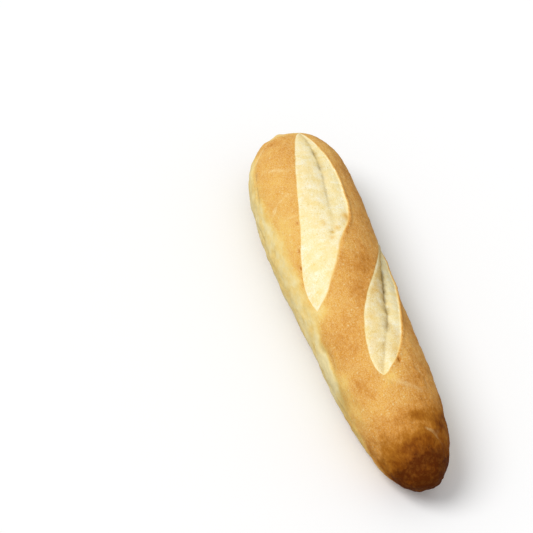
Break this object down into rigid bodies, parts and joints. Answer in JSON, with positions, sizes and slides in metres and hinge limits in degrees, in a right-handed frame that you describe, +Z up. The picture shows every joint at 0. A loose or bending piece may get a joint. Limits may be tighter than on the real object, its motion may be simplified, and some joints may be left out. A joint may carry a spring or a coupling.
{
  "type": "baguette",
  "caption": "Short baguette with a slight taper, blunt rounded ends, slanting pale scores across a golden crown and a flat base to rest on.",
  "frame": {"origin": "on the table, under the middle of the loaf's bounding box", "axes": "+X along the loaf from its broad end to its slim dark end, +Y towards the side its broad end bends to, +Z up"},
  "size_m": [0.27, 0.0674, 0.0483],
  "materials": {
    "crust": null
  },
  "bodies": {
    "root": {"baguette": "crust"}
  },
  "joints": []
}
